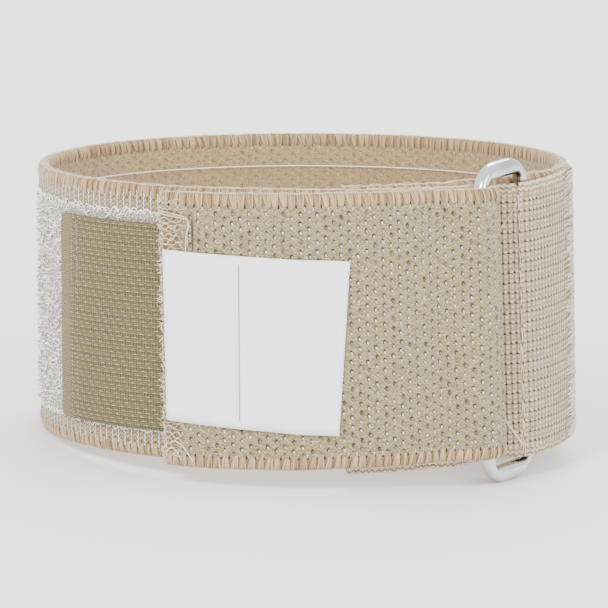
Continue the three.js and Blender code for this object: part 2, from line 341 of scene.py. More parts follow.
def rightOf(along):
    return np.stack([along[..., 1], -along[..., 0]], -1)


def withHeight(plan, height):
    return np.concatenate([plan, height[..., None]], -1)


def slantAt(at, slant, share):  # how far the slanted cut end moves a point at this share of the height
    return slant * (0.5 - share) * np.clip(1 - at / cutReach, 0, 1)


def stripObject(name, line, thickness, lower, upper, rows, materials, slots=(0, 0, 0), slant=0):
    # a strip on edge along a line: right side, left side and edges, each with its own material slot
    at, count = line["at"], len(line["at"])
    right = rightOf(line["along"])
    low, high = lower(at), upper(at)
    shares = np.concatenate([edgeProfile[:, 0], np.linspace(*flatPart, rows), 1 - edgeProfile[::-1, 0]])
    thin = np.concatenate([edgeProfile[:, 1], np.ones(rows), edgeProfile[::-1, 1]])
    total = len(shares)
    points, uv = [], []
    for side in (0.5, -0.5):
        for share, narrow in zip(shares, thin):
            lean = slantAt(at, slant, share)[:, None]
            plan = line["points"] + line["along"] * lean + right * (side * thickness * narrow)
            points.append(withHeight(plan, low + (high - low) * share))
            uv.append(np.column_stack([at, share * strap["bandWidth"] * np.ones(count)]))
    points, uv = np.vstack(points), np.vstack(uv)
    faces, kinds = [], []

    def index(side, row, column):
        return (side * total + row) * count + column

    def addFace(kind, *corners):
        faces.append([index(*corner) for corner in corners])
        kinds.append(slots[kind])

    end, top = count - 1, total - 1
    for row in range(top):
        for i in range(end):
            addFace(0, (0, row, i), (0, row, i + 1), (0, row + 1, i + 1), (0, row + 1, i))
            addFace(1, (1, row, i), (1, row + 1, i), (1, row + 1, i + 1), (1, row, i + 1))
        addFace(2, (0, row, 0), (0, row + 1, 0), (1, row + 1, 0), (1, row, 0))
        addFace(2, (0, row, end), (1, row, end), (1, row + 1, end), (0, row + 1, end))
    for i in range(end):
        addFace(2, (0, 0, i), (1, 0, i), (1, 0, i + 1), (0, 0, i + 1))
        addFace(2, (0, top, i), (0, top, i + 1), (1, top, i + 1), (1, top, i))
    return meshObject(name, place(points), faces, uv, materials, kinds)


def linear(red, green, blue):  # a colour read by eye as 0 to 255, by the usual screen curve
    parts = [c / 255 for c in (red, green, blue)]
    parts = [c / 12.92 if c <= 0.04045 else ((c + 0.055) / 1.055) ** 2.4 for c in parts]
    return (*parts, 1.0)


class Value:  # a number or colour that a material's nodes work out, so that patterns read as sums
    def __init__(self, tree, socket):
        self.tree = tree
        self.socket = socket

    def calc(self, operation, *others):
        return mathNode(self.tree, operation, self, *others)

    def __add__(self, other):
        return self.calc("ADD", other)

    def __sub__(self, other):
        return self.calc("SUBTRACT", other)

    def __rsub__(self, other):
        return mathNode(self.tree, "SUBTRACT", other, self)

    def __mul__(self, other):
        return self.calc("MULTIPLY", other)

    def __truediv__(self, other):
        return self.calc("DIVIDE", other)

    def __mod__(self, other):
        return self.calc("MODULO", other)

    def __abs__(self):
        return self.calc("ABSOLUTE")

    def __floor__(self):
        return self.calc("FLOOR")


def plug(value, socket):
    if isinstance(value, Value):
        value.tree.links.new(value.socket, socket)
    else:
        socket.default_value = value


def addNode(tree, kind, inputs=None, output=0, **settings):
    node = tree.nodes.new(kind)
    for key, value in settings.items():
        setattr(node, key, value)
    for key, value in (inputs or {}).items():
        plug(value, node.inputs[key])
    return Value(tree, node.outputs[output])


def mathNode(tree, operation, *values):
    return addNode(tree, "ShaderNodeMath", dict(enumerate(values)), operation=operation)


def blendColour(share, first, second):
    return addNode(share.tree, "ShaderNodeMix", {0: share, 6: first, 7: second}, 2, data_type="RGBA")


def blendNumber(share, first, second):
    return addNode(share.tree, "ShaderNodeMix", {0: share, 2: first, 3: second}, data_type="FLOAT")


def newMaterial(name, settings):
    material = bpy.data.materials.new(name)
    material.use_nodes = True
    shader = material.node_tree.nodes["Principled BSDF"]
    for key, value in settings.items():
        shader.inputs[key].default_value = value
    return material, shader


def surfaceUv(material):  # millimetres along the piece and up it
    uvMap = addNode(material.node_tree, "ShaderNodeUVMap", uv_map="UVMap")
    parts = addNode(material.node_tree, "ShaderNodeSeparateXYZ", {0: uvMap}).socket.node
    return [Value(material.node_tree, parts.outputs[k]) for k in (0, 1)]


clothGloss = 0.25


def clothMaterial(name, roughness, sheen):
    settings = {"Roughness": roughness, "Sheen Weight": sheen, "Specular IOR Level": clothGloss}
    material, shader = newMaterial(name, settings)
    return material, shader, *surfaceUv(material)


def noise(u, v, scaleU, scaleV, detail=2.0, third=0.0):
    where = addNode(u.tree, "ShaderNodeCombineXYZ", {0: u * scaleU, 1: v * scaleV, 2: third})
    return addNode(u.tree, "ShaderNodeTexNoise", {"Vector": where, "Scale": 1.0, "Detail": detail})


def cellRandom(column, row, third=0.0):  # one chance number for each cell
    where = addNode(column.tree, "ShaderNodeCombineXYZ", {0: column, 1: row, 2: third})
    return addNode(column.tree, "ShaderNodeTexWhiteNoise", {"Vector": where}, noise_dimensions="3D")


def ramp(value, low, high):
    return addNode(value.tree, "ShaderNodeMapRange", {"Value": value, "From Min": low, "From Max": high},
                   interpolation_type="SMOOTHSTEP")


def fall(value, low, high):
    return 1.0 - ramp(value, low, high)


def larger(first, second):
    return first.calc("MAXIMUM", second)


def inCell(value):  # from a cell's middle, in shares of the cell
    return value.calc("FRACT") - 0.5


def wave(value):  # one for each whole number
    return (value * math.tau).calc("COSINE")


def fromEdges(v):
    return middle - abs(v - middle)


markReach, markSoft = 1.4, 0.1  # how far past its radii a mark fades out, and how softly


def ellipse(u, v, centreU, centreV, radiusU, radiusV, lean=0.0):
    dv = v - centreV
    du = (dv * lean + (u - centreU)) / radiusU
    dv = dv / radiusV
    inside = larger(markReach - (du * du + dv * dv), 0.0)
    return mathNode(u.tree, "SMOOTH_MIN", 1.0, inside, markSoft)


def acrossCells(u, v, centreU, *rest):  # a mark that reaches into the next cell
    return larger(ellipse(u, v, centreU, *rest), ellipse(u, v, centreU - 1, *rest))


def bump(shader, height, distance, strength=1.0):
    inputs = {"Height": height, "Distance": distance * mm, "Strength": strength}
    plug(addNode(height.tree, "ShaderNodeBump", inputs), shader.inputs["Normal"])


# inner face of the elastic: beige ground with fine fuzz, and in every cell a hole in painted shade above a
# glint, a painted white highlight. a mark is its middle, its radii and its lean, in shares of a cell. a grain
# is its two scales, its detail and its own number
specks = {
    "columnPitch": 1.55,
    "rowPitch": 1.72,
    "stray": 0.2,
    "holeShade": (0.0, 0.2, 0.13, 0.13, 0.4),
    "crescentShade": (-0.05, 0.03, 0.2, 0.3, 0.25),
    "glint": (0.03, -0.05, 0.115, 0.17, 0.25),
    "haloShade": (0.12, 0.08, 0.34, 0.3, 0.5),
    "edgeHoleShade": (0.5, 2.15, 0.12, 0.42),
    "edgeGlint": (0.46, 2.55, 0.085, 0.4),
    "slitShade": (5.85, 43.3, 0.22, 3.6, 0.02),
    "creaseShade": (22.65, 42.5, 0.16, 2.6),
    "fibres": (1.5, 6.5, 4.0),
    "coarse": (0.8, 1.1, 2.0, 5.0),
    "fuzz": (6.0, 9.0, 3.0, 9.0),
    "wisps": (1.0, 5.0, 3.0, 12.0),
    "netPatches": (0.9, 1.5, 2.0, 21.0),
    "swing": 0.9,  # how far the knit's chevrons zigzag
    "field": (2.7, 3.0),  # from the edge, where the binding's end gives way to the cells
    "bindingEnd": (1.9, 2.3),
    "netEnd": (3.0, 4.6),  # from the cut end
    "frontEnd": (66.0, 74.0),  # along the band, where the back begins, paler and plainer: its tone is painted light for how differently it is lit, and its marks are softer
    "ground": linear(172, 160, 120),
    "back": linear(188, 160, 116),
    "shade": linear(126, 110, 76),
    "wisp": linear(214, 204, 164),
    "brownShade": linear(140, 108, 76),
    "glintWhite": linear(244, 244, 250),
    "deepShade": linear(38, 27, 15),
    "relief": 0.34,
}


def speckMaterial():
    material, shader, u, v = clothMaterial("elastic_inner_face", 0.92, 0.25)
    backLightChange = ramp(u, *specks["frontEnd"])
    cu = u / specks["columnPitch"]
    column = math.floor(cu)
    cv = v / specks["rowPitch"] + column % 2.0 * 0.5
    row = math.floor(cv)
    chance, other, third = [cellRandom(column, row, number) for number in (0.0, 3.0, 7.0)]
    markU = (chance - 0.5) * specks["stray"] + inCell(cu)
    markV = (other - 0.5) * specks["stray"] + inCell(cv)
    # the dark holes and their crescents are painted shade
    holeShade = ellipse(markU, markV, *specks["holeShade"]) * ramp(other, 0.0, 0.6)
    crescentShade = ellipse(markU, markV, *specks["crescentShade"]) * 0.92
    holeShade = larger(holeShade, crescentShade * ramp(third, -0.5, 0.9))
    # the glints are painted white highlights
    glint = ellipse(markU, markV, *specks["glint"]) * ramp(chance, -0.2, 1.0)
    haloShade = ellipse(markU, markV, *specks["haloShade"])
    fibres = noise(u, v, *specks["fibres"])
    lint = noise(u, v, *specks["fuzz"])
    coarse = noise(u, v, *specks["coarse"])
    chevron = wave((cv + cu.calc("PINGPONG", 0.5) * specks["swing"]) * 2)
    groove = wave(cu)
    # the ground, its fibres and wisps, and a painted brown shade round each glint
    mottle = fibres * 1.3 + lint * 0.8 + coarse * 0.5 - chevron * 0.09
    # the back's tone is painted light, standing for its different lighting
    colour = blendColour(backLightChange, specks["ground"], specks["back"])
    colour = blendColour(ramp(mottle, 1.08, 1.5) * (1.0 - backLightChange * 0.65), colour, specks["shade"])
    # painted brown shade round each glint
    colour = blendColour(haloShade * (third * 0.5 + 0.1), colour, specks["brownShade"])
    wisp = ramp(noise(u, v, *specks["wisps"]), 0.56, 0.68)
    colour = blendColour(wisp * 0.75, colour, specks["wisp"])
    # under the net at the cut end the cloth gets painted shade, browner with darker patches, and has no marks
    edge = fromEdges(v)
    inField = ramp(edge, *specks["field"])
    netShade = fall(u, *specks["netEnd"]) * inField
    netDeepShade = netShade * ramp(noise(u, v, *specks["netPatches"]), 0.38, 0.6)
    colour = blendColour(netShade * 0.7, colour, specks["brownShade"])
    colour = blendColour(netDeepShade * 0.45, colour, specks["deepShade"])
    fade = (0.95 - backLightChange * 0.64) * inField * (1.0 - netShade * 0.8)
    # the row below the binding: holes in painted shade and glints painted as highlights
    edgeHoleShade = acrossCells(inCell(cu), edge, *specks["edgeHoleShade"])
    edgeGlint = acrossCells(inCell(cu), edge, *specks["edgeGlint"])
    edgeGlint = edgeGlint * ramp(cellRandom(math.floor(cu + 0.5), 0.0, 11.0), 0.2, 1.1)
    edgeFade = 0.95 - backLightChange * 0.45
    holeShade = larger(holeShade * fade, edgeHoleShade * edgeFade)
    glint = larger(glint * fade, edgeGlint * edgeFade)
    # painted brown shade under the binding's inner ends
    colour = blendColour(fall(edge, *specks["bindingEnd"]) * 0.6, colour, specks["brownShade"])
    # a slit and a dotted crease, darkened as painted shade
    slitShade = ellipse(u, v, *specks["slitShade"])
    creaseShade = ellipse(u, v, *specks["creaseShade"]) * ramp(lint, 0.4, 0.6)
    holeShade = larger(holeShade, larger(slitShade * 0.8, creaseShade * 0.5))
    colour = blendColour(holeShade, colour, specks["deepShade"])
    colour = blendColour(glint, colour, specks["glintWhite"])
    plug(colour, shader.inputs["Base Color"])
    bump(shader, chevron * 0.1 - groove * 0.2 + fibres * 0.9 - holeShade * 1.3 + glint * 0.5, specks["relief"])
    return material


# threads: each one has its own number in U and its length in V
threadLook = {
    "bindLight": linear(198, 171, 133),
    "bindDark": linear(132, 102, 66),
    "frayLight": linear(240, 232, 214),
    "frayDark": linear(182, 164, 134),
    "sewLight": linear(236, 220, 194),
    "sewDark": linear(190, 164, 134),
    "netLight": linear(232, 218, 188),
    "netDark": linear(176, 152, 116),
    "pileLight": linear(252, 252, 251),
    "pileDark": linear(238, 235, 231),
    "pileOdd": linear(158, 134, 106),
    "oddShare": 0.16,  # of the pile's loops that are brown
}


def threadMaterial(name, light, dark, roughness=0.85, sheen=0.35, spread=0.8, oddShare=0.0, odd=None):
    material, shader, u, v = clothMaterial(name, roughness, sheen)
    number = math.floor(u)
    # each thread is darker towards its sides: painted shade for its roundness
    sideShade = ramp(abs(inCell(u)), 0.22, 0.5)
    fibres = noise(u * 3.0, v, 1.0, 2.5)
    shade = cellRandom(number, 0.0) * spread + fibres * 0.5 + sideShade * 0.5
    colour = blendColour(ramp(shade, 0.2, 1.35), light, dark)
    if odd:
        colour = blendColour(cellRandom(number, 1.0).calc("LESS_THAN", oddShare), colour, odd)
    plug(colour, shader.inputs["Base Color"])
    bump(shader, fibres, 0.05)
    return material


# pile face: a mottled ground with painted shade under the loops, and two margins of beaded ropes beside white
# wavy threads, with painted shade in the gaps between beads and strands
pile = {
    "ropePitch": 1.55,
    "beadPitch": 0.86,
    "marginEnd": (5.3, 5.9),
    "wander": 1.2,  # how unevenly the margin ends
    "strandAt": 0.3,  # the white thread's place in a rope's cell
    "strandWave": 0.07,
    "strandHalf": (0.075, 0.13),
    "strandShadow": (0.16, 0.26),
    "strandShare": 0.76,
    "edgeHoleShade": (-0.2, 2.3, 0.17, 0.5),
    "marginGrain": (0.9, 0.3, 1.0),
    "ground": (2.4, 2.4, 4.0),
    "fineGround": (6.0, 6.0, 2.0, 4.0),
    "fibres": (7.0, 4.0, 3.0),
    "white": linear(252, 250, 246),
    "shade": linear(132, 112, 90),
    "rope": linear(168, 144, 102),
    "ropeShadow": linear(92, 70, 46),
    "strand": linear(246, 242, 234),
    "relief": 0.32,
}


def pileMaterial():
    material, shader, u, v = clothMaterial("pile_ground", 0.95, 0.4)
    edge = fromEdges(v)
    inPile = ramp(edge + noise(u, v, *pile["marginGrain"]) * pile["wander"], *pile["marginEnd"])
    mottle = noise(u, v, *pile["ground"]) * 0.9 + noise(u, v, *pile["fineGround"]) * 0.6
    pileColour = blendColour(ramp(mottle, 0.55, 0.85), pile["white"], pile["shade"])
    cu = u / pile["ropePitch"]
    cv = v / pile["beadPitch"] + math.floor(cu) % 2.0 * 0.5
    swing = (cv * math.tau).calc("SINE") * pile["strandWave"]
    strand = abs(swing + (inCell(cu) - pile["strandAt"]))
    isStrand = fall(strand, *pile["strandHalf"])
    # the gaps between beads and beside the strands, and the hole at each cluster's end, are painted shade
    beadGapShade = ramp(wave(inCell(cu) * 0.5 + cv), 0.55, 1.0)
    ropeShade = larger(beadGapShade * 0.65, fall(strand, *pile["strandShadow"]) * 0.95)
    ropeShade = noise(u, v, *pile["fibres"]) * 0.35 + ropeShade
    ropeColour = blendColour(ramp(ropeShade, 0.15, 1.2), pile["rope"], pile["ropeShadow"])
    ropeColour = blendColour(isStrand * pile["strandShare"], ropeColour, pile["strand"])
    ropeColour = blendColour(ellipse(inCell(cu), edge, *pile["edgeHoleShade"]), ropeColour, pile["ropeShadow"])
    plug(blendColour(inPile, ropeColour, pileColour), shader.inputs["Base Color"])
    bump(shader, blendNumber(inPile, isStrand - ropeShade * 1.2, 1.6 - mottle * 1.5), pile["relief"])
    return material


# finer woven webbing: square cells with painted shade in the grooves and dark points of painted shade
# between, a chain-like selvedge, and its sewn lines
weave = {
    "cellU": 1.18,
    "cellV": 0.93,
    "bow": 0.3,  # how far the rows wander, in cells
    "grooveU": (0.14, 0.5),
    "grooveV": (0.1, 0.52),
    "tickShade": (0.46, -0.4, 0.31, 0.44, -0.6),
    "fleckMark": (-0.24, -0.16, 0.2, 0.13, 0.5),
    "selvedge": (1.5, 2.1),
    "chainSlant": 0.4,
    "chainPitch": 1.05,  # links a millimetre
    "chainStagger": 0.35,
    "frayedEnd": (4.5, 8.5),
    "seamU": 24.55,
    "seamHalf": (0.15, 0.42),
    "seamOff": 0.2,  # the dent lies this far past the holes
    "holePitch": 3.5,
    "needleHole": (0.0, 0.0, 0.4, 0.13),
    "bowGrain": (0.25, 0.25, 1.0, 2.0),
    "fibres": (6.0, 3.0, 4.0),
    "frayedGrain": (0.5, 2.2, 2.0, 15.0),
    "thread": linear(228, 209, 177),
    "shade": linear(180, 154, 120),
    "groove": linear(132, 106, 78),
    "dark": linear(58, 42, 28),
    "fleck": linear(244, 234, 212),
    "relief": 0.42,
}


def webbingMaterial():
    material, shader, u, v = clothMaterial("woven_webbing", 0.88, 0.25)
    bow = noise(u, v, *weave["bowGrain"]) * weave["bow"]
    cu = u / weave["cellU"] + bow
    cv = v / weave["cellV"] + bow
    column, row = math.floor(cu), math.floor(cv)
    du, dv = inCell(cu), inCell(cv)
    chance = cellRandom(column, row)
    isSecond = row % 2.0
    inside = ramp(fromEdges(v), *weave["selvedge"])
    # the dark points at the crossings are painted shade
    tickShade = acrossCells(du, dv, *weave["tickShade"]) * (isSecond * 0.85 + 0.1)
    fleck = ellipse(du, dv, *weave["fleckMark"]) * isSecond * ramp(chance, 0.1, 0.7)
    slant = (cu.calc("FRACT") * 2.0).calc("PINGPONG", 1.0) * weave["chainSlant"]
    stagger = cellRandom(column, 0.0, 5.0) * weave["chainStagger"]
    chain = ramp(abs(inCell(slant + (v * weave["chainPitch"] + stagger))), 0.16, 0.52)
    fibres = noise(u, v, *weave["fibres"])
    # the grooves between cells and the chain's links are darkened as painted shade
    groove = larger(ramp(abs(du), *weave["grooveU"]), ramp(abs(dv), *weave["grooveV"]) * 0.85)
    groove = blendNumber(inside, chain, groove)
    colour = blendColour(ramp(fibres * 0.9 + chance * 0.35, 0.35, 1.15), weave["thread"], weave["shade"])
    colour = blendColour(groove * 0.8, colour, weave["groove"])
    # painted shade between and under the fringe's threads
    fringeShade = fall(u, *weave["frayedEnd"]) * ramp(noise(u, v, *weave["frayedGrain"]), 0.35, 0.6)
    colour = blendColour(fringeShade * 0.85, colour, weave["groove"])
    colour = blendColour(tickShade * inside, colour, weave["dark"])
    colour = blendColour(fleck * inside, colour, weave["fleck"])
    # the seam's dent and the needle holes are darkened as painted shade
    seamShade = fall(abs(u - (weave["seamU"] + weave["seamOff"])), *weave["seamHalf"])
    needle = ellipse(u - weave["seamU"], inCell(v / weave["holePitch"]), *weave["needleHole"])
    colour = blendColour(seamShade * 0.7, colour, weave["groove"])
    colour = blendColour(needle, colour, weave["dark"])
    plug(colour, shader.inputs["Base Color"])
    bump(shader, fibres * 0.35 - groove - larger(tickShade, seamShade) * 0.8, weave["relief"])
    return material


# hook tape: ribbed ground, rows of small hooks with pale dashes and wells of painted shade, a plain margin
# and two sewn lines
hooks = {
    "pitchU": 0.62,
    "pitchV": 1.02,
    "ribPitch": 0.51,
    "margin": (2.6, 4.2),
    "wellShade": (0.0, 0.08, 0.24, 0.42),
    "dash": (0.0, -0.36, 0.27, 0.12, 0.5),
    "dashEvery": 3,  # hooks
    "seams": (3.75, 5.38),
    "seamDot": (0.0, 0.0, 0.16, 0.17, 0.6),
    "grain": (3.0, 5.0, 3.0),
    "ground": linear(122, 110, 71),
    "plain": linear(134, 121, 80),
    "light": linear(202, 192, 158),
    "dark": linear(52, 42, 20),
    "relief": 0.2,
}


def hookMaterial():
    material, shader, u, v = clothMaterial("hook_tape_weave", 0.62, 0.1)
    cu = u / hooks["pitchU"]
    cv = v / hooks["pitchV"]
    row = math.floor(cv)
    chance = cellRandom(math.floor(cu), row)
    inField = ramp(u, *hooks["margin"])
    # the wells between the hooks are darkened as painted shade
    wellShade = ellipse(inCell(cu), inCell(cv), *hooks["wellShade"]) * inField * (0.95 - row % 2.0 * 0.6)
    dashU = inCell(u / (hooks["pitchU"] * hooks["dashEvery"]) + row % 4.0 * 0.25)
    dash = ellipse(dashU, inCell(cv), *hooks["dash"]) * inField
    rib = wave(v / hooks["ribPitch"])
    colour = blendColour(inField, hooks["plain"], hooks["ground"])
    colour = blendColour(ramp(noise(u, v, *hooks["grain"]) - rib * 0.16, 0.35, 0.95), colour, hooks["dark"])
    colour = blendColour(wellShade * (chance * 0.35 + 0.55), colour, hooks["dark"])
    stitch = dash * (chance * 0.5 + 0.3)
    for seamU in hooks["seams"]:
        stitch = larger(stitch, ellipse(u - seamU, inCell(v), *hooks["seamDot"]) * 0.85)
    plug(blendColour(stitch, colour, hooks["light"]), shader.inputs["Base Color"])
    bump(shader, rib * 0.25 + stitch * 0.8 - wellShade * 0.8, hooks["relief"])
    return material


labelLook = {
    "weftPitch": 0.3,
    "cloud": (0.12, 0.12),
    "grain": (1.5, 9.0, 2.0, 3.0),
    "ruleHalf": (0.08, 0.16),
    "ruleEnd": (14.4, 14.7),
    "light": linear(250, 251, 253),
    "dark": linear(234, 239, 248),
    "rule": linear(96, 96, 100),
    "relief": 0.03,
}


def labelMaterial():
    material, shader, u, v = clothMaterial("satin_label", 0.42, 0.1)
    cloud = noise(u, v, *labelLook["cloud"])
    shade = noise(u, v, *labelLook["grain"]) * 0.25 + cloud
    colour = blendColour(ramp(shade, 0.3, 1.0), labelLook["light"], labelLook["dark"])
    rule = fall(abs(u - label["ruleAt"]), *labelLook["ruleHalf"]) * fall(abs(v), *labelLook["ruleEnd"])
    plug(blendColour(rule * 0.75, colour, labelLook["rule"]), shader.inputs["Base Color"])
    bump(shader, wave(v / labelLook["weftPitch"]) * 0.3 + cloud, labelLook["relief"])
    return material


plateLook = {
    "cloudScale": 120.0,
    "rippleScale": 900.0,
    "roughness": 0.08,
    "ripple": 0.12,
    "light": linear(216, 218, 221),
    "dark": linear(186, 188, 192),
    "relief": 0.05,
}


def plateMaterial():
    material, shader = newMaterial("bright_plate", {"Metallic": 1.0})
    tree = material.node_tree
    where = addNode(tree, "ShaderNodeTexCoord", output="Object")
    cloud, ripple = [addNode(tree, "ShaderNodeTexNoise", {"Vector": where, "Scale": scale, "Detail": detail})
                     for scale, detail in ((plateLook["cloudScale"], 3.0), (plateLook["rippleScale"], 2.0))]
    colour = blendColour(ramp(cloud, 0.3, 0.7), plateLook["light"], plateLook["dark"])
    plug(colour, shader.inputs["Base Color"])
    plug(ripple * plateLook["ripple"] + plateLook["roughness"], shader.inputs["Roughness"])
    bump(shader, cloud, plateLook["relief"], 0.4)
    return material


filmLook = {
    "rim": (0.34, 0.12),  # from the strap's edge, where the strip turns white and nearly opaque along its rims
    "cloud": (0.3, 0.5),
    "haze": 0.05,
    "rimHaze": 0.75,
    "tint": linear(206, 176, 142),
    "milky": linear(250, 248, 244),
}


def filmMaterial():
    settings = {"Roughness": 0.16, "IOR": 1.45, "Specular IOR Level": 0.4}
    material, shader = newMaterial("clear_film", settings)
    u, v = surfaceUv(material)
    cutRim = ramp(abs(v - middle), *[middle - inset for inset in filmLook["rim"]])
    plug(blendColour(cutRim, filmLook["tint"], filmLook["milky"]), shader.inputs["Base Color"])
    haze = noise(u, v, *filmLook["cloud"]) * filmLook["haze"] + filmLook["haze"]
    plug(cutRim * filmLook["rimHaze"] + haze, shader.inputs["Alpha"])
    return material


innerFace = speckMaterial()
pileFace = pileMaterial()
pileThread = threadMaterial("pile_thread", threadLook["pileLight"], threadLook["pileDark"], 0.95, 0.5, 0.7,
                            threadLook["oddShare"], threadLook["pileOdd"])
edgeThread = threadMaterial("edge_thread", threadLook["bindLight"], threadLook["bindDark"])
frayThread = threadMaterial("fray_thread", threadLook["frayLight"], threadLook["frayDark"], 0.9, 0.4, 0.9)
sewThread = threadMaterial("sewing_thread", threadLook["sewLight"], threadLook["sewDark"])
netThread = threadMaterial("net_thread", threadLook["netLight"], threadLook["netDark"])
webbingWeave = webbingMaterial()
hookWeave = hookMaterial()
satin = labelMaterial()
plate = plateMaterial()
film = filmMaterial()
print("materials made")

cover = 0.25  # the cloth's own edge lies this far inside its binding
formerLow = (strap["bandWidth"] - former["width"]) / 2
clothRows, tapeRows, filmRows = 24, 16, 4  # of faces up each strip


def level(height):  # an edge that stays at one height along its strip
    return lambda at: 0 * at + height


elastic = stripObject("elastic", bandLine, band["thickness"], lambda at: bandLower(at) + cover,
                      lambda at: bandUpper(at) - cover, clothRows, [innerFace, pileFace], (0, 1, 0),
                      band["cutSlant"])
tab = stripObject("webbing", tabLine, webbing["thickness"], webbingLower, webbingUpper, clothRows,
                  [webbingWeave])
hookTape = stripObject("hook_tape_cloth", tapeLine, tape["thickness"], level(tape["lift"]),
                       level(tape["lift"] + tape["width"]), tapeRows, [hookWeave])
clearStrip = stripObject("clear_strip", formerLine, former["thickness"], level(formerLow),
                         level(formerLow + former["width"]), filmRows, [film])
print("strips made")

# the faces that threads are laid on: the strip's line and thickness, which side, and its two edges
bandInner = (bandLine, band["thickness"], 1, bandLower, bandUpper)
bandPile = (bandLine, band["thickness"], -1, bandLower, bandUpper)
webbingOuter = (tabLine, webbing["thickness"], -1, webbingLower, webbingUpper)
tiny = 1e-9


def onFace(face, at, v, out, slant=0):
    # points over one face of a strip: at along it, v up it and out from it, with its own directions there
    line, thickness, side, lower, upper = face
    reach = np.maximum(at, 0)
    point, along = lineAt(line, reach)
    right = rightOf(along)
    lean = np.minimum(at, 0) + slantAt(at, slant, v / strap["bandWidth"])
    plan = point + along * lean[..., None] + right * (side * (thickness / 2 + out))[..., None]
    height = lower(reach) + (upper(reach) - lower(reach)) * v / strap["bandWidth"]
    flat = np.zeros_like(height)
    return withHeight(plan, height), withHeight(along, flat), withHeight(right * side, flat)


def threadMesh(name, centres, sides, ups, width, crown, material):
    # fine threads as narrow ribbons, with a raised middle where crown isn't 0
    count, steps = centres.shape[:2]
    run = np.gradient(centres, axis=1)
    middleStep = steps // 2
    facing = (np.cross(sides, run)[:, middleStep] * ups[:, middleStep]).sum(-1)
    sides = sides * np.where(facing < 0, -1, 1)[:, None, None]
    rows = [centres - sides * width, centres + sides * width]
    rowU = [0.04, 0.96]
    if crown:
        rows.insert(1, centres + ups * crown)
        rowU.insert(1, 0.5)
    wide = len(rows)
    points = np.stack(rows, 2).reshape(-1, 3)
    number = np.broadcast_to(np.arange(count)[:, None, None], (count, steps, wide))
    share = np.broadcast_to(np.linspace(0, 1, steps)[None, :, None], (count, steps, wide))
    uv = np.stack([number + np.array(rowU), share], -1).reshape(-1, 2)
    base = (np.arange(count)[:, None, None] * steps + np.arange(steps - 1)[None, :, None]) * wide
    first = (base + np.arange(wide - 1)[None, None, :]).ravel()
    faces = np.stack([first, first + 1, first + wide + 1, first + wide], -1)
    return meshObject(name, place(points), faces.tolist(), uv, [material])


def flatSides(du, dv, along):  # across a thread that runs du along the strip and dv up it
    size = np.sqrt(du * du + dv * dv) + tiny
    sides = along * (-dv / size)[..., None]
    sides[..., 2] += du / size
    return sides


def layThreads(name, face, at, v, out, width, crown, material, slant=0):
    centres, along, ups = onFace(face, at, v, out, slant)
    sides = flatSides(np.gradient(at, axis=1), np.gradient(v, axis=1), along)
    return threadMesh(name, centres, sides, ups, width, crown, material)


seeded = np.random.default_rng(11)

# overlocked edge: clusters of fine threads that go over the edge and draw together at their inner ends
binding = {
    "pitch": 1.55,
    "threads": 4,
    "spread": 0.98,
    "width": 0.175,
    "crown": 0.16,
    "depth": 2.4,
    "draw": 0.6,
    "drawPower": 1.4,
    "tilt": (0.0, 0.5),
    "tall": (0.9, 1.1),
    "uneven": (0.96, 1.04),
    "turn": 0.9,  # the depth over which a thread turns over the edge
    "inset": 0.1,
    "sink": 0.02,
    "ends": 0.05,
    # a thread's way over the edge: out in shares of half the cloth's thickness, and its depth
    "profile": [(0.80, 2.5), (1.05, 2.1), (1.08, 1.5), (1.0, 0.9), (0.82, 0.4), (0.42, 0.08), (0, 0.0),
                (-0.42, 0.08), (-0.82, 0.4), (-1.0, 0.9), (-1.08, 1.5), (-1.05, 2.1), (-0.80, 2.5)],
}


def makeBinding():
    profileOut, profileDepth = np.array(binding["profile"]).T[:, None, :]
    clusters = int(bandLine["length"] / binding["pitch"])
    threads = binding["threads"]
    offsets = (np.arange(threads) - (threads - 1) / 2) / threads * binding["pitch"] * binding["spread"]
    at = np.repeat((np.arange(clusters) + 0.5) * binding["pitch"], threads)
    shift = np.tile(offsets, clusters)
    tall = np.repeat(seeded.uniform(*binding["tall"], clusters), threads)
    tall = tall * seeded.uniform(*binding["uneven"], len(at))
    tilt = np.repeat(seeded.uniform(*binding["tilt"], clusters), threads)
    depth = profileDepth * tall[:, None]
    share = depth / binding["depth"]
    draw = 1 - binding["draw"] * np.clip(share, 0, 1) ** binding["drawPower"]
    where = at[:, None] + shift[:, None] * draw + tilt[:, None] * share * np.sign(profileOut)
    where = np.clip(where, binding["ends"], bandLine["length"] - binding["ends"])
    point, along = lineAt(bandLine, where)
    right = rightOf(along)
    out = profileOut * (band["thickness"] / 2 - binding["sink"]) * np.ones_like(where)
    turned = np.clip(1 - depth / binding["turn"], 0, 1)
    outward3 = right * (np.sign(out) * (1 - turned))[..., None]
    deep = binding["inset"] + depth
    centres, ups = [], []
    for edge in (0, 1):
        plan = point + along * slantAt(where, band["cutSlant"], edge)[..., None] + right * out[..., None]
        centres.append(withHeight(plan, bandUpper(where) - deep if edge else bandLower(where) + deep))
        up = withHeight(outward3, turned * (1 if edge else -1))
        ups.append(up / (np.linalg.norm(up, axis=-1, keepdims=True) + tiny))
    sides = [withHeight(along, np.zeros_like(where))] * 2
    return threadMesh("edge_binding", np.concatenate(centres), np.concatenate(sides), np.concatenate(ups),
                      binding["width"], binding["crown"], edgeThread)


rim = {"step": 0.3, "out": 0.55, "farthest": 0.85, "sway": 0.5, "lift": 0.12, "proud": 0.02, "ends": 0.1,
       "width": 0.07, "crown": 0.08}


def wander(count, over):  # chance numbers, each evened out over its neighbours
    return np.convolve(seeded.normal(0, 1, count + over - 1), np.ones(over) / over, "valid")


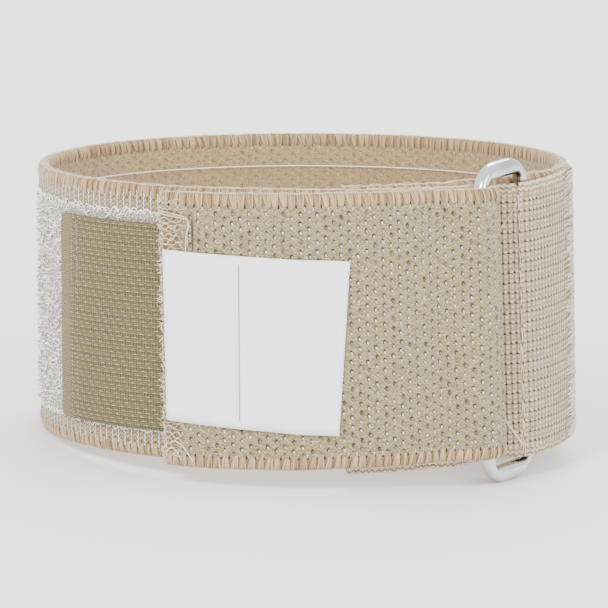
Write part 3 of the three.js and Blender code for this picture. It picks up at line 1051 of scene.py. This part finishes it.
def makeRim():  # a wavy cream thread along both edges, two at each
    where = np.arange(rim["ends"], bandLine["length"] - rim["ends"], rim["step"])
    point, along = lineAt(bandLine, where)
    right = rightOf(along)
    flat = np.zeros(len(where))
    centres, sides, ups = [], [], []
    for edge in (0, 1):
        for side in (-1, 1):
            sway = wander(len(where), 5) * rim["sway"]
            lift = wander(len(where), 3) * rim["lift"]
            out = np.clip(side * rim["out"] + sway, -rim["farthest"], rim["farthest"])
            above = bandUpper(where) + lift - rim["proud"]
            below = bandLower(where) + np.abs(lift) + rim["proud"]
            centres.append(withHeight(point + right * out[:, None], above if edge else below))
            sides.append(withHeight(right, flat))
            ups.append(withHeight(0 * right, flat + (1 if edge else -1)))
    return threadMesh("rim_thread", np.array(centres), np.array(sides), np.array(ups), rim["width"],
                      rim["crown"], netThread)


bindingPiece = makeBinding()
rimPiece = makeRim()
print("binding made")

# brushed pile on the outer side: short loops, where no other layer lies on it
loops = {
    "perArea": 1.2,
    "half": 0.8,
    "halfSpread": (0.5, 1.25),
    "height": 0.62,
    "heightSpread": (0.3, 1.2),
    "bend": 0.7,
    "sink": 0.04,
    "width": 0.095,
    "edge": 5.5,
    "clear": 0.5,  # how far the loops reach in under the layers that cover the pile
}
scallops = {
    "pitch": 1.55,
    "span": 1.15,
    "sway": 0.15,
    "second": 0.35,  # how far the second row is moved along
    "foot": 5.55,
    "tall": (0.5, 1.15),
    "uneven": 0.12,
    "out": (0.08, 0.14),
    "width": 0.1,
    "crown": 0.08,
}


def alongAt(deg, low, high):  # where the band passes this angle, between two places along it
    target = onLoop(deg, bandInset(deg) + band["thickness"] / 2)
    near = (bandLine["at"] > low) & (bandLine["at"] < high)
    miss = np.linalg.norm(bandLine["points"] - target, axis=1)
    return float(bandLine["at"][near][np.argmin(miss[near])])


coverEnd = alongAt(bandEndDeg, 80, 200)
tapeFarEnd = alongAt(tapeStartDeg, 80, 260)
webbingFoot = alongAt(webbingEndDeg, 240, 380)
print("pile from", round(coverEnd, 1), "past", round(tapeFarEnd, 1), "to", round(webbingFoot, 1))


def makePile():
    low, high, clear = loops["edge"], strap["bandWidth"] - loops["edge"], loops["clear"]
    count = int((webbingFoot - coverEnd) * (high - low) * loops["perArea"])
    u0 = seeded.uniform(coverEnd - 0.5, webbingFoot + 0.4, count)
    v0 = seeded.uniform(low, high, count)
    onTape = (v0 > tape["lift"] - clear) & (v0 < tape["lift"] + tape["width"] + clear)
    onTape = onTape & (u0 < tapeFarEnd + 0.6)
    u0, v0 = u0[~onTape, None], v0[~onTape, None]
    total = len(u0)
    t = np.linspace(-1, 1, 5)[None, :]
    turn = seeded.uniform(0, math.tau, (total, 1))
    half = loops["half"] * seeded.uniform(*loops["halfSpread"], (total, 1))
    bend = seeded.uniform(-loops["bend"], loops["bend"], (total, 1)) * (1 - t * t)
    at = u0 + np.cos(turn) * half * t - np.sin(turn) * bend
    v = v0 + np.sin(turn) * half * t + np.cos(turn) * bend
    out = loops["height"] * seeded.uniform(*loops["heightSpread"], (total, 1)) * (1 - t * t) - loops["sink"]
    print("pile loops", total)
    return layThreads("pile_loops", bandPile, at, v, out, loops["width"], 0, pileThread)


def makeScallops():  # the first rows of loops, along both margins
    t = np.linspace(0, 1, 11)[None, :]
    arch = np.sin(math.pi * t)
    at, v = [], []
    for edge in (0, 1):
        for copy in range(2):
            u0 = np.arange(coverEnd - 1, webbingFoot, scallops["pitch"])[:, None]
            sway = seeded.uniform(-scallops["sway"], scallops["sway"], u0.shape)
            u0 = u0 + sway + copy * scallops["second"]
            tall = seeded.uniform(*scallops["tall"], u0.shape)
            uneven = seeded.uniform(-scallops["uneven"], scallops["uneven"], u0.shape)
            rise = scallops["foot"] - tall * arch ** 0.8 + uneven
            at.append(u0 + (t - 0.5) * scallops["pitch"] * scallops["span"])
            v.append(strap["bandWidth"] - rise if edge else rise)
    at, v = np.concatenate(at), np.concatenate(v)
    low, high = scallops["out"]
    out = low + high * arch * np.ones_like(at)
    return layThreads("pile_edge_loops", bandPile, at, v, out, scallops["width"], scallops["crown"],
                      pileThread)


pilePiece = makePile()
scallopPiece = makeScallops()
print("pile made")

# the overlap's cut end: an overlocked net on its face, white fuzz at the cut, and loose threads
overlock = {"pitch": 1.2, "columns": 5, "step": 1.0, "start": -0.15, "shake": 0.36, "twin": 0.06,
            "stretch": (0.75, 1.2), "ease": (0.12, 0.88), "out": (0.06, 0.08), "width": 0.048, "crown": 0.05}
fuzz = {"count": 620, "half": (0.2, 0.6), "at": (-0.35, 0.55), "out": (-1.7, 0.05), "edge": 0.6,
        "flatten": 0.7, "arch": 0.3, "width": 0.075}
strays = {"count": 150, "start": 0.4, "reach": (0.7, 1.5), "edge": 1.0, "bend": 0.8, "out": (-1.2, 0.05),
          "rise": 0.25, "width": 0.05}


def makeNet():  # a honeycomb: each thread meets the one above and the one below in turn
    pitch, columns = overlock["pitch"], np.arange(overlock["columns"])
    rows = int(strap["bandWidth"] / pitch) - 2
    shake = seeded.uniform(-overlock["shake"], overlock["shake"], (rows + 2, len(columns)))
    nodeAt = overlock["start"] + columns * overlock["step"]
    even = np.linspace(0, len(columns) - 1, len(columns) * 7)
    low = np.minimum(even.astype(int), len(columns) - 2)
    share = smooth(even - low, *overlock["ease"])
    at, v = [], []
    for row in range(1, rows + 1):
        for way in (-1, 1):
            shift = columns % 2 * way
            nodes = (row + 1 + shift / 2) * pitch + shake[row + (shift - way) // 2 * -way, columns]
            for twin in (-overlock["twin"], overlock["twin"]):
                at.append(np.interp(even, columns, nodeAt) * seeded.uniform(*overlock["stretch"]))
                v.append(nodes[low] + (nodes[low + 1] - nodes[low]) * share + twin)
    at, v = np.array(at), np.array(v)
    low, high = overlock["out"]
    out = low + high * np.abs(np.sin(math.pi * even))[None, :] * np.ones_like(at)
    return layThreads("overlock_net", bandInner, at, v, out, overlock["width"], overlock["crown"], netThread,
                      band["cutSlant"])


def makeFuzz():
    size = (fuzz["count"], 1)
    t = np.linspace(-1, 1, 5)[None, :]
    turn = seeded.uniform(0, math.tau, size)
    half = seeded.uniform(*fuzz["half"], size)
    at = seeded.uniform(*fuzz["at"], size) + np.cos(turn) * half * t * fuzz["flatten"]
    v = seeded.uniform(fuzz["edge"], strap["bandWidth"] - fuzz["edge"], size) + np.sin(turn) * half * t
    out = seeded.uniform(*fuzz["out"], size) + fuzz["arch"] * (1 - t * t)
    at = np.minimum(at, np.where(out < -0.05, 0.05, 1.0))  # none runs into the cloth
    return layThreads("cut_end_fuzz", bandInner, at, v, out, fuzz["width"], 0, frayThread, band["cutSlant"])


def makeStrays():
    size = (strays["count"], 1)
    t = np.linspace(0, 1, 6)[None, :]
    at = strays["start"] - t * seeded.uniform(*strays["reach"], size)
    v = seeded.uniform(strays["edge"], strap["bandWidth"] - strays["edge"], size)
    v = v + t * t * seeded.uniform(-strays["bend"], strays["bend"], size)
    out = seeded.uniform(*strays["out"], size) + strays["rise"] * t
    return layThreads("cut_end_strays", bandInner, at, v, out, strays["width"], 0, frayThread,
                      band["cutSlant"])


def softPath(corners, steps):  # an even path through these corners, with its bends eased
    corners = np.array(corners, float)
    length = np.concatenate([[0], np.cumsum(np.linalg.norm(np.diff(corners, axis=0), axis=1))])
    even = np.linspace(0, length[-1], steps)
    path = np.stack([np.interp(even, length, corners[:, k]) for k in range(corners.shape[1])], -1)
    for _ in range(loose["easing"]):
        path[1:-1] = (path[:-2] + 2 * path[1:-1] + path[2:]) / 4
    return path


loose = {"steps": 26, "easing": 3, "width": 0.11, "crown": 0.1}
looseThreads = [  # along the band, up it and out from it
    [(-0.3, 46.9, 0.2), (1.0, 46.5, 0.5), (3.2, 46.3, 0.7), (5.3, 45.9, 0.5), (5.5, 45.1, 0.4),
     (4.7, 42.7, 0.5), (4.6, 39.6, 0.15)],
    [(-0.2, 47.3, 0.2), (2.2, 46.9, 0.6), (4.9, 46.3, 0.5), (5.2, 45.2, 0.4), (4.9, 43.4, 0.3),
     (4.9, 41.0, 0.12)],
    [(1.4, 4.4, 0.1), (2.6, 4.9, 0.5), (3.9, 4.2, 0.6), (5.0, 2.6, 0.4), (5.8, 1.3, 0.1)],
    [(0.3, 2.0, 0.1), (1.0, 3.3, 0.5), (2.2, 3.6, 0.6), (3.0, 2.6, 0.4), (3.6, 1.2, 0.1)],
]


def makeLoose():
    paths = np.array([softPath(corners, loose["steps"]) for corners in looseThreads])
    return layThreads("loose_threads", bandInner, *np.moveaxis(paths, -1, 0), loose["width"], loose["crown"],
                      frayThread, band["cutSlant"])


netPiece = makeNet()
fuzzPiece = makeFuzz()
strayPiece = makeStrays()
loosePiece = makeLoose()
print("cut end made")

# the webbing's frayed end
fringe = {
    "bundles": 33,
    "perBundle": 9,
    "start": 8.0,  # how far back from the end its threads are free
    "startSpread": (0.45, 1.05),
    "past": (0.2, 1.4),
    "edge": 0.6,
    "half": 0.8,  # of a bundle at its foot
    "gather": 0.7,
    "gatherPower": 1.5,
    "lean": 0.7,
    "leanSpread": 0.35,
    "ripple": 0.09,
    "ripples": 7,
    "lift": 0.06,
    "arch": 0.3,
    "droop": 0.35,
    "width": 0.09,
    "crown": 0.07,
}

# its sewn line, doubled at the lower end, and the diagonals of the box
sewing = {
    "pitch": 3.5,
    "stitches": 14,
    "doubled": 6,
    "short": 0.3,  # from a stitch's end to the needle's hole
    "lean": 0.05,
    "second": ((0.45, 0.4), (0.3, 0.5)),  # how far a doubled stitch's ends lie from the first one's
    "sink": 0.08,
    "arch": 0.22,
    "width": 0.13,
    "crown": 0.13,
    "diagonals": [((24.5, 47.6), (29.3, 41.6)), ((24.7, 2.1), (28.9, 7.9)), ((25.1, 2.2), (29.2, 8.2))],
}


def makeFringe():
    bundles, each = fringe["bundles"], fringe["perBundle"]
    size = (bundles * each, 1)
    t = np.linspace(0, 1, 8)[None, :]
    centre = np.repeat((np.arange(bundles) + 0.5) / bundles, each)[:, None]
    inBundle = np.tile(np.linspace(-fringe["half"], fringe["half"], each), bundles)[:, None]
    lean = np.repeat(seeded.uniform(-fringe["leanSpread"], fringe["leanSpread"], bundles), each)[:, None]
    v = fringe["edge"] + centre * (strap["bandWidth"] - 2 * fringe["edge"])
    v = v + inBundle * (1 - fringe["gather"] * t ** fringe["gatherPower"]) + (lean + fringe["lean"]) * t
    v = v + fringe["ripple"] * np.sin(fringe["ripples"] * t + seeded.uniform(0, 6, size))
    past = seeded.uniform(*fringe["past"], size)
    at = fringe["start"] * seeded.uniform(*fringe["startSpread"], size) * (1 - t) - past * t
    out = fringe["lift"] + fringe["arch"] * np.sin(math.pi * t) - fringe["droop"] * t ** 3
    return layThreads("webbing_fringe", webbingOuter, at, v, out, fringe["width"], fringe["crown"],
                      frayThread)


def sewnLine(seamU):
    rows = []
    for number in range(sewing["stitches"]):
        low = number * sewing["pitch"] + sewing["short"]
        high = (number + 1) * sewing["pitch"] - sewing["short"]
        rows.append(((seamU, low), (seamU + sewing["lean"], high)))
        if number < sewing["doubled"]:
            (startU, startV), (endU, endV) = sewing["second"]
            rows.append(((seamU + startU, low + startV), (seamU + endU, high + endV)))
    return rows


def makeSewing():
    start, end = np.array(sewnLine(weave["seamU"]) + sewing["diagonals"]).transpose(1, 2, 0)[..., None]
    t = np.linspace(0, 1, 9)[None, :]
    at, v = start * (1 - t) + end * t
    out = -sewing["sink"] + sewing["arch"] * np.sin(math.pi * t) ** 0.5 * np.ones_like(at)
    return layThreads("box_stitches", webbingOuter, at, v, out, sewing["width"], sewing["crown"], sewThread)


fringePiece = makeFringe()
sewingPiece = makeSewing()
print("webbing's threads made")


def makeLabel():  # a sheet with two faces, that lies on the overlap a little askew
    midDeg = degFrom(bandEndDeg, label["inset"] + label["topLength"] / 2)
    columns, rows = label["columns"], label["rows"]
    points, uv, faces = [], [], []
    for side in (1, 0):
        for j in range(rows + 1):
            share = j / rows
            length = label["footLength"] + (label["topLength"] - label["footLength"]) * share
            tiltDeg = label["footTiltDeg"] + (label["topTiltDeg"] - label["footTiltDeg"]) * share
            for i in range(columns + 1):
                x = (i / columns - 0.5) * length + label["footShift"] * (1 - share)
                y = (share - 0.5) * label["height"] - x * math.tan(math.radians(tiltDeg))
                deg = degFrom(midDeg, x)
                above = gap * label["gapShare"] + label["thickness"] * side
                plan = onLoop(deg, overlapInset(deg) - above)
                points.append((plan[0], plan[1], label["lift"] + label["height"] / 2 + y))
                uv.append((x, (share - 0.5) * label["height"]))
    wide = columns + 1
    back = wide * (rows + 1)
    for j in range(rows):
        for i in range(columns):
            a = j * wide + i
            faces.append((a, a + 1, a + wide + 1, a + wide))
            faces.append((back + a, back + a + wide, back + a + wide + 1, back + a + 1))
    border = [i for i in range(columns)] + [j * wide + columns for j in range(rows)]
    border += [rows * wide + i for i in range(columns, 0, -1)] + [j * wide for j in range(rows, 0, -1)]
    for a, b in zip(border, border[1:] + border[:1]):
        faces.append((a, back + a, back + b, b))
    return meshObject("label_sheet", place(np.array(points)), faces, np.array(uv), [satin])


labelSheet = makeLabel()


def selectOnly(obj):
    bpy.ops.object.select_all(action="DESELECT")
    obj.select_set(True)
    bpy.context.view_layer.objects.active = obj


def isFlat(face):  # it looks along the ring's own axis
    return abs(face.normal.z) > 0.9


def isInner(face):  # the flat faces that the inset leaves have a corner for each step of its rounds
    return isFlat(face) and len(face.verts) > ringSize["cornerSteps"]


def chooseInner(ring, isWanted):  # in edit mode, of the two faces inside the inset
    mesh = bmesh.from_edit_mesh(ring.data)
    inner = {vert for face in mesh.faces if isInner(face) for vert in face.verts}
    for vert in mesh.verts:
        vert.select = vert in inner and isWanted(vert.co)
    mesh.select_flush_mode()
    bmesh.update_edit_mesh(ring.data)


def chooseFaces(ring, isWanted):
    bpy.ops.mesh.select_mode(type="FACE")
    bpy.ops.mesh.select_all(action="DESELECT")
    mesh = bmesh.from_edit_mesh(ring.data)
    for face in mesh.faces:
        face.select = isWanted(face)
    bmesh.update_edit_mesh(ring.data)


def sharpenSlot(ring, wide, tall):  # the slot's corners are tighter than the ring's
    halfX, halfY = wide / 2 - ringSize["bar"], tall / 2 - ringSize["bar"]
    share = ringSize["slotCorner"] / (ringSize["corner"] - ringSize["bar"])
    bpy.ops.mesh.select_mode(type="VERT")
    for sideX in (-1, 1):
        for sideY in (-1, 1):
            chooseInner(ring, lambda co: co.x * sideX > 0 and co.y * sideY > 0)
            corner = (sideX * halfX * mm, sideY * halfY * mm, 0)
            bpy.ops.transform.resize(value=(share, share, 1), center_override=corner)
    for sideY in (-1, 1):
        chooseInner(ring, lambda co: co.y * sideY > 0)
        bpy.ops.transform.translate(value=(0, -sideY * (ringSize["end"] - ringSize["bar"]) * mm, 0))
    chooseFaces(ring, isInner)


def makeRing():
    wide = ringSize["innerWidth"] + 2 * ringSize["bar"]
    tall = ringSize["innerLength"] + 2 * ringSize["end"]
    bpy.ops.object.select_all(action="DESELECT")
    bpy.ops.mesh.primitive_cube_add(size=1)
    ring = bpy.context.object
    ring.name = "plated_ring"
    ring.scale = (wide * mm, tall * mm, ringSize["thickness"] * mm)
    bpy.ops.object.transform_apply(scale=True)
    bpy.ops.object.mode_set(mode="EDIT")
    bpy.ops.mesh.select_mode(type="EDGE")
    bpy.ops.mesh.select_all(action="DESELECT")
    mesh = bmesh.from_edit_mesh(ring.data)
    for edge in mesh.edges:
        a, b = edge.verts
        edge.select = abs(a.co.z - b.co.z) > 0.5 * mm  # the four upright ones
    bmesh.update_edit_mesh(ring.data)
    bpy.ops.mesh.bevel(offset=ringSize["corner"] * mm, segments=ringSize["cornerSteps"], affect="EDGES")
    chooseFaces(ring, isFlat)
    bpy.ops.mesh.inset(thickness=ringSize["bar"] * mm)
    sharpenSlot(ring, wide, tall)
    bpy.ops.mesh.bridge_edge_loops()
    bpy.ops.mesh.select_all(action="SELECT")
    bpy.ops.mesh.normals_make_consistent(inside=False)
    bpy.ops.object.mode_set(mode="OBJECT")
    rounding = ring.modifiers.new("rounding", "BEVEL")
    rounding.width = ringSize["rounding"] * mm
    rounding.segments = ringSize["roundingSteps"]
    rounding.limit_method = "ANGLE"
    rounding.angle_limit = math.radians(50)
    bpy.ops.object.modifier_apply(modifier="rounding")
    lean = math.radians(ringSize["leanDeg"])
    face = Vector((outward[0], outward[1], 0))
    turn = Matrix.Rotation(lean, 3, face)
    side = turn @ Vector((across[0], across[1], 0))
    up = turn @ Vector((0, 0, 1))
    basis = Matrix((side, up, face)).transposed()
    whole = (standTurn @ basis).to_4x4()
    whole.translation = (Vector(ringLow) + Vector(ringHigh)) / 2
    ring.data.transform(whole)
    ring.data.update()
    ring.data.materials.clear()
    ring.data.materials.append(plate)
    selectOnly(ring)
    bpy.ops.object.shade_smooth_by_angle(angle=math.radians(40))
    return ring


ringPiece = makeRing()
print("ring made")

# camera, in the strap's own frame, before the strap is leant to rest
view = {"distance": 855.0, "elevationDeg": 8.45, "focalPixels": 4413.0, "framePixels": 608.0, "sensor": 36.0,
        "aimRight": -0.1, "aimDown": 2.67, "clipEnd": 10}


def makeCamera():
    tilt = math.radians(view["elevationDeg"])
    away = Vector((0, -math.cos(tilt), math.sin(tilt)))
    up = Vector((0, math.sin(tilt), math.cos(tilt)))
    target = Vector((view["aimRight"], 0, middle)) - up * view["aimDown"]
    away, up = standTurn @ away, standTurn @ up
    place3 = standTurn @ target * mm + standMove
    side = up.cross(away).normalized()
    turn = Matrix((side, up, away)).transposed().to_4x4()
    turn.translation = place3 + away * view["distance"] * mm
    data = bpy.data.cameras.new("camera")
    data.sensor_width = view["sensor"]
    data.lens = view["focalPixels"] / view["framePixels"] * view["sensor"]
    data.clip_end = view["clipEnd"]
    camera = bpy.data.objects.new("camera", data)
    camera.matrix_world = turn
    bpy.context.scene.collection.objects.link(camera)
    bpy.context.scene.camera = camera


makeCamera()


studio = {
    "floorSize": 6,
    "floorGrey": 0.94,
    "floorRoughness": 0.9,
    "sky": 1.7,
    "target": (0, 0, 0.03),
    # each light's place, width and power
    "key": ((-0.45, -0.75, 0.75), 0.4, 12.0),
    "fill": ((0.7, -0.5, 0.45), 0.6, 5.0),
    "back": ((0.1, 0.7, 0.7), 0.6, 7.0),
}


def makeFloor():
    bpy.ops.object.select_all(action="DESELECT")
    bpy.ops.mesh.primitive_plane_add(size=studio["floorSize"])
    floor = bpy.context.object
    floor.name = "studio_floor"
    grey = (*[studio["floorGrey"]] * 3, 1)
    material, shader = newMaterial("pale_floor", {"Base Color": grey, "Roughness": studio["floorRoughness"]})
    floor.data.materials.append(material)


def areaLight(name):
    place3, size, power = studio[name]
    data = bpy.data.lights.new(name, "AREA")
    data.shape = "DISK"
    data.size = size
    data.energy = power
    lamp = bpy.data.objects.new(name, data)
    lamp.location = place3
    lamp.rotation_euler = (Vector(studio["target"]) - Vector(place3)).to_track_quat("-Z", "Y").to_euler()
    bpy.context.scene.collection.objects.link(lamp)


makeFloor()
for lightName in ("key", "fill", "back"):
    areaLight(lightName)
world = bpy.data.worlds.new("studio") if bpy.context.scene.world is None else bpy.context.scene.world
bpy.context.scene.world = world
world.use_nodes = True
sky = world.node_tree.nodes["Background"]
sky.inputs["Color"].default_value = (1, 1, 1, 1)
sky.inputs["Strength"].default_value = studio["sky"]
print("studio made")

clothThreads = (bindingPiece, rimPiece, pilePiece, scallopPiece, netPiece, fuzzPiece, strayPiece, loosePiece)
webbingThreads = (fringePiece, sewingPiece)
for piece in (elastic, tab, hookTape, labelSheet, clearStrip, ringPiece, *clothThreads, *webbingThreads):
    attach(piece, "root")
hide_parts("elastic_band")
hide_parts("webbing_tab")
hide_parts("hook_tape")
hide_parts("label")
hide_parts("former_strip")
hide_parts("ring")
print("pieces tied to the frame")
